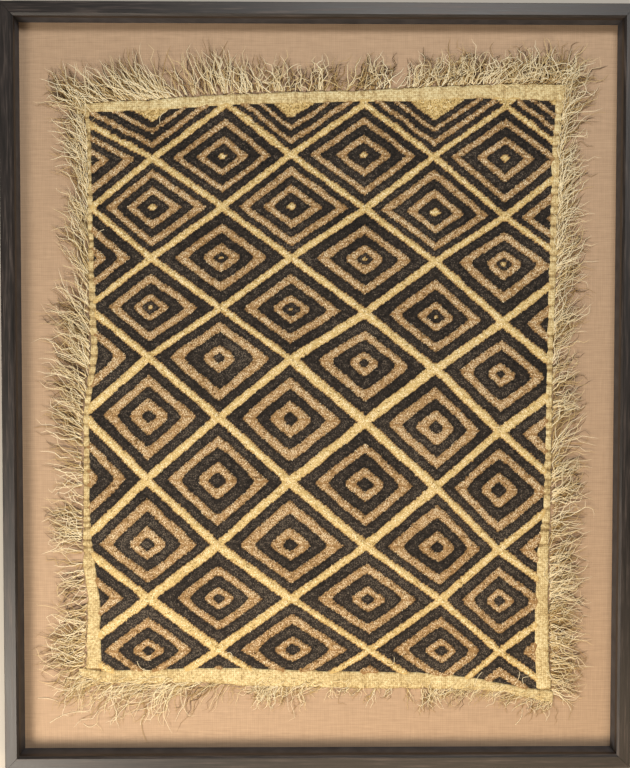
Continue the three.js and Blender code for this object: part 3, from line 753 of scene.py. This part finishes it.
# The strands lie in a low, a middle and an upper layer: the shares that part them, how far each lifts, and
# its tone, darker for lower layers as painted shade under the strands above. The low layer is darker still
# where the fringe stands higher, as painted shadow.
LAYER_SHARES = (0.28, 0.58)
LAYER_LIFTS = np.array([0.3, 0.9, 1.7])
HIGHEST_LIFT = 16.0
LOW_TONE, MIDDLE_TONE, UPPER_TONE, OVER_HEM_TONE = 0.5, 0.4, 0.88, 0.76
LOW_SHADOW = 0.46
CLUMP_TONE, STRAND_TONE = 0.08, 0.13
ROOT_RISE = 1.3
LOOSE_RADIUS = 0.3
LOOSE_TONE = 0.95


def strand_tubes(name, paths, radius, shade, material):
    """Thin three-sided tubes along paths of equal count."""
    count, steps, _ = paths.shape
    ahead = np.gradient(paths, axis=1)
    ahead /= np.linalg.norm(ahead, axis=2, keepdims=True)
    side = np.cross(ahead, (0, 0, 1.0))
    side /= np.linalg.norm(side, axis=2, keepdims=True)
    over = np.cross(side, ahead)
    turn = 2 * np.pi * np.arange(STRAND_SIDES) / STRAND_SIDES + np.pi / 6
    around = side[:, :, None] * np.cos(turn)[:, None] + over[:, :, None] * np.sin(turn)[:, None]
    points = (paths[:, :, None] + around * radius[:, :, None, None]).reshape(-1, 3)
    per_strand = steps * STRAND_SIDES
    first = per_strand * np.arange(count)[:, None, None]
    ring = STRAND_SIDES * np.arange(steps - 1)[:, None] + np.arange(STRAND_SIDES)
    after = STRAND_SIDES * np.arange(steps - 1)[:, None] + (np.arange(STRAND_SIDES) + 1) % STRAND_SIDES
    quads = np.stack([ring, after, after + STRAND_SIDES, ring + STRAND_SIDES], axis=-1)
    quads = (first[..., None] + quads).reshape(-1, 4)
    return mesh_piece(name, points, [quads], [material], np.repeat(shade, per_strand), planar=True)


def wander(root, heading, bend, wave, crimp, length, rng):
    """Flat paths that set off on a heading, bend, are crimped, and curl more towards their tips.

    The share of the way along at each point is given too, the same for all paths.
    """
    count = len(root)
    run = np.linspace(0, 1, STRAND_POINTS)
    turns = rng.uniform(0.5, 1.5, (count, 1))
    phase = rng.uniform(0, 2 * np.pi, (count, 1))
    angle = heading[:, None] + bend[:, None] * run
    angle = angle + wave[:, None] * run * np.sin(2 * np.pi * turns * run + phase)
    kinks = np.repeat(rng.normal(0, 1, (count, STRAND_POINTS // 2)), 2, axis=1)
    angle = angle + crimp[:, None] * kinks * np.clip(3 * run, 0.2, 1)
    step = length[:, None] / (STRAND_POINTS - 1)
    x = root[:, :1] + np.cumsum(step * np.cos(angle), axis=1)
    y = root[:, 1:] + np.cumsum(step * np.sin(angle), axis=1)
    return np.stack([x, y], axis=-1), run


def make_fringe(side, hem, locks, out_angle, upright, stand, thick, seed, material):
    """Frayed raffia along one hem, in clumps that share a root and a way to lean.

    About a quarter of the strands lie low, darkened as painted shade, and others arch over them, paler.
    Stand is how much they lift off the linen, and thick how thick they are, as shares of full size.
    """
    rng = np.random.default_rng(seed)

    def column(name, places):
        return np.interp(places, locks[:, 0], locks[:, LOCK_COLUMNS.index(name)])

    along, last = [locks[0, 0]], locks[-1, 0]
    while along[-1] < last:
        along.append(along[-1] + column("spacing", along[-1]) * rng.uniform(*SPACING_UNEVEN))
    along = np.array(along)
    clump = np.repeat(np.arange(len(along)), rng.integers(*STRANDS_IN_CLUMP, len(along)))
    count = len(clump)
    at = np.clip(along[clump] + rng.normal(0, ROOT_SCATTER, count), hem[0, 0], hem[-1, 0])
    over_hem = rng.random(count) < column("over_hem", at)
    sign = -1 if edge(hem, 0, OUTER) < 0 else 1
    off = edge(hem, at, OUTER) - sign * np.where(over_hem, rng.uniform(*ROOT_OVER_HEM, count), ROOT_TUCK)
    root = np.column_stack([off, at] if upright else [at, off])
    tangle = column("tangle", at)
    lean = column("lean", along) + rng.normal(0, LEAN_SCATTER, len(along))
    lean = lean[clump] + rng.normal(0, LEAN_SCATTER, count) * tangle
    lean = lean + rng.normal(0, STRAY_LEAN, count) * (rng.random(count) < STRAY_SHARE)
    lean = np.clip(lean, -MOST_LEAN, MOST_LEAN)
    to_plus = -1 if (sign > 0) != upright else 1
    heading = np.radians(out_angle + to_plus * lean)
    length = column("length", at) * rng.uniform(*CLUMP_LENGTH, len(along))[clump]
    length = length * rng.uniform(*STRAND_LENGTH, count)
    bend = rng.normal(0, CLUMP_BEND, len(along))[clump] + rng.normal(0, STRAND_BEND, count) * tangle
    wave = np.radians(rng.gamma(*WAVE, count)) * tangle
    flat, run = wander(root, heading, np.radians(bend), wave, np.radians(CRIMP) * tangle, length, rng)
    radius = thick * rng.uniform(*STRAND_RADIUS, count)[:, None] * (1 - 0.4 * run - 0.5 * run ** 12)
    layer = np.digitize(rng.random(count), LAYER_SHARES)
    lift = rng.gamma(*CLUMP_LIFT, len(along))[clump] + rng.gamma(*STRAND_LIFT, count)
    lift = stand * np.minimum(lift * LAYER_LIFTS[layer], HIGHEST_LIFT)
    lift[over_hem] *= OVER_HEM_LIFT
    arch = np.pi * rng.uniform(*ARCH_TURN, (count, 1))
    high = CLOTH_BACK + ROOT_RISE * (1 - run) ** 2 + lift[:, None] * np.sin(arch * run) + radius
    high = high + np.where(over_hem, HEM_THICK, 0)[:, None] * np.clip(1.4 - 2 * run, 0, 1)
    paths = np.concatenate([flat, high[..., None]], axis=-1)
    # Lower layers take darker tones: painted shade under the strands above.
    tones = np.array([LOW_TONE - LOW_SHADOW * stand, MIDDLE_TONE, UPPER_TONE])
    shade = np.where(over_hem, OVER_HEM_TONE, tones[layer])
    shade = shade + rng.normal(0, CLUMP_TONE, len(along))[clump] + rng.normal(0, STRAND_TONE, count)
    return strand_tubes(f"raffia_fringe_{side}", paths, radius, np.clip(shade, 0, 1), material)


def make_loose_threads(material):
    """Single threads that have worked loose and lie on the pile or on the linen."""
    run = np.linspace(0, 1, STRAND_POINTS)
    bow = np.sin(np.pi * run)
    start, end, high, curl = np.split(LOOSE_THREADS, (2, 4, 5), axis=1)
    way = end - start
    across = np.column_stack([-way[:, 1], way[:, 0]]) * curl
    flat = start[:, None] + way[:, None] * run[:, None] + across[:, None] * (0.35 * bow)[:, None]
    rise = high + 0.5 * bow
    paths = np.concatenate([flat, rise[..., None]], axis=-1)
    radius = np.full(paths.shape[:2], LOOSE_RADIUS)
    shade = np.full(len(paths), LOOSE_TONE)
    return strand_tubes("loose_raffia_threads", paths, radius, shade, material)


# Making

# The height of the image and the lens, in pixels, and where the camera is, in metres.
IMAGE_HIGH = 768
FOCAL_PIXELS = 900
CAMERA_PLACE = (-0.0155, 0.0385, BOARD_TOP * MM + 1.0654)
CAMERA_TURN = (-1.706, -0.582, 0.045)
camera = bpy.data.objects.new("camera", bpy.data.cameras.new("camera"))
camera.data.sensor_width = 36.0
camera.data.lens = FOCAL_PIXELS * camera.data.sensor_width / IMAGE_HIGH
camera.location = CAMERA_PLACE
camera.rotation_euler = [math.radians(angle) for angle in CAMERA_TURN]
bpy.context.scene.collection.objects.link(camera)
bpy.context.scene.camera = camera

fibre = raffia_strand()
cloth = make_cloth()
pile = make_pile()
# Each fringe's hem and locks, the way out, whether it runs upright, then its stand, thick and seed.
fringe_looks = {
    "top": (TOP_HEM, TOP_LOCKS, 90, False, 1.0, 0.92, 21),
    "bottom": (BOTTOM_HEM, BOTTOM_LOCKS, -90, False, 0.4, 0.66, 22),
    "left": (LEFT_HEM, LEFT_LOCKS, 180, True, 0.85, 0.82, 23),
    "right": (RIGHT_HEM, RIGHT_LOCKS, 0, True, 0.85, 0.8, 24),
}
fringes = {side: make_fringe(side, *look, fibre) for side, look in fringe_looks.items()}
threads = make_loose_threads(fibre)

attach(threads, "root")
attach(cloth, "root")
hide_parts("kuba_cloth")
for piece in pile:
    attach(piece, "root")
for side, piece in fringes.items():
    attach(piece, "root")
    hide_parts(f"fringe_{side}")

wood_across = stained_wood("dark_stained_wood_across", (GRAIN_LONG, GRAIN_WIDE, GRAIN_WIDE))
wood_upright = stained_wood("dark_stained_wood_upright", (GRAIN_WIDE, GRAIN_LONG, GRAIN_WIDE))
paint = painted_spacer()
node_finish = {"linen_mount_board": linen_on_board()}
rail_wood = {"top": wood_across, "bottom": wood_across, "left": wood_upright, "right": wood_upright}
for side, wood in rail_wood.items():
    node_finish[f"frame_rail_{side}"] = wood
    node_finish[f"frame_spacer_{side}"] = paint
for node, material in node_finish.items():
    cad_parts[node].material_slots[0].material = material

# Floor and light

floor_material, floor_tree = new_material("pale_floor")
floor_shader = add(floor_tree, "ShaderNodeBsdfPrincipled", {
    "Base Color": hex_colour("#c3beb5"), "Roughness": 0.8, "Specular IOR Level": 0.2})
add(floor_tree, "ShaderNodeOutputMaterial", {"Surface": floor_shader.outputs["BSDF"]})
FLOOR_HALF = 6000
FLOOR_TOP = -0.5
floor_corners = [
    (x * FLOOR_HALF, y * FLOOR_HALF, FLOOR_TOP) for x, y in ((-1, -1), (1, -1), (1, 1), (-1, 1))]
floor = mesh_piece("floor", floor_corners, [np.array([(0, 1, 2, 3)])], [floor_material])


def soft_box(name, place, aim, size, power, colour):
    """A rectangular studio light, turned to its aim: places and size in metres, power in watts."""
    lamp = bpy.data.lights.new(name, "AREA")
    lamp.shape = "RECTANGLE"
    lamp.size, lamp.size_y = size
    lamp.energy = power
    lamp.color = hex_colour(colour)[:3]
    holder = bpy.data.objects.new(name, lamp)
    holder.location = place
    x, y, z = np.array(aim) - np.array(place)
    tilt = math.atan2(math.hypot(x, y), -z)
    holder.rotation_euler = (tilt, 0, math.atan2(y, x) - math.pi / 2)
    bpy.context.scene.collection.objects.link(holder)


# The key comes from the lower left, so that the left wall shades the linen, as in the photograph.
soft_box("key", (-0.72, -0.72, 0.85), (0.05, -0.15, 0), (0.5, 0.4), 14.2, "#fff3e3")
soft_box("fill", (0.35, 0.95, 1.4), (0.05, 0.25, 0), (0.7, 0.3), 18.2, "#f3f0ec")
soft_box("low_strip", (0.22, -0.68, 0.6), (0.14, -0.38, 0), (0.8, 0.2), 3.0, "#ffe2bc")
world = bpy.data.worlds.new("studio")
world.use_nodes = True
background = world.node_tree.nodes["Background"]
background.inputs["Color"].default_value = hex_colour("#e9e4dc")
background.inputs["Strength"].default_value = 0.18
bpy.context.scene.world = world
bpy.context.scene.view_settings.view_transform = "Standard"
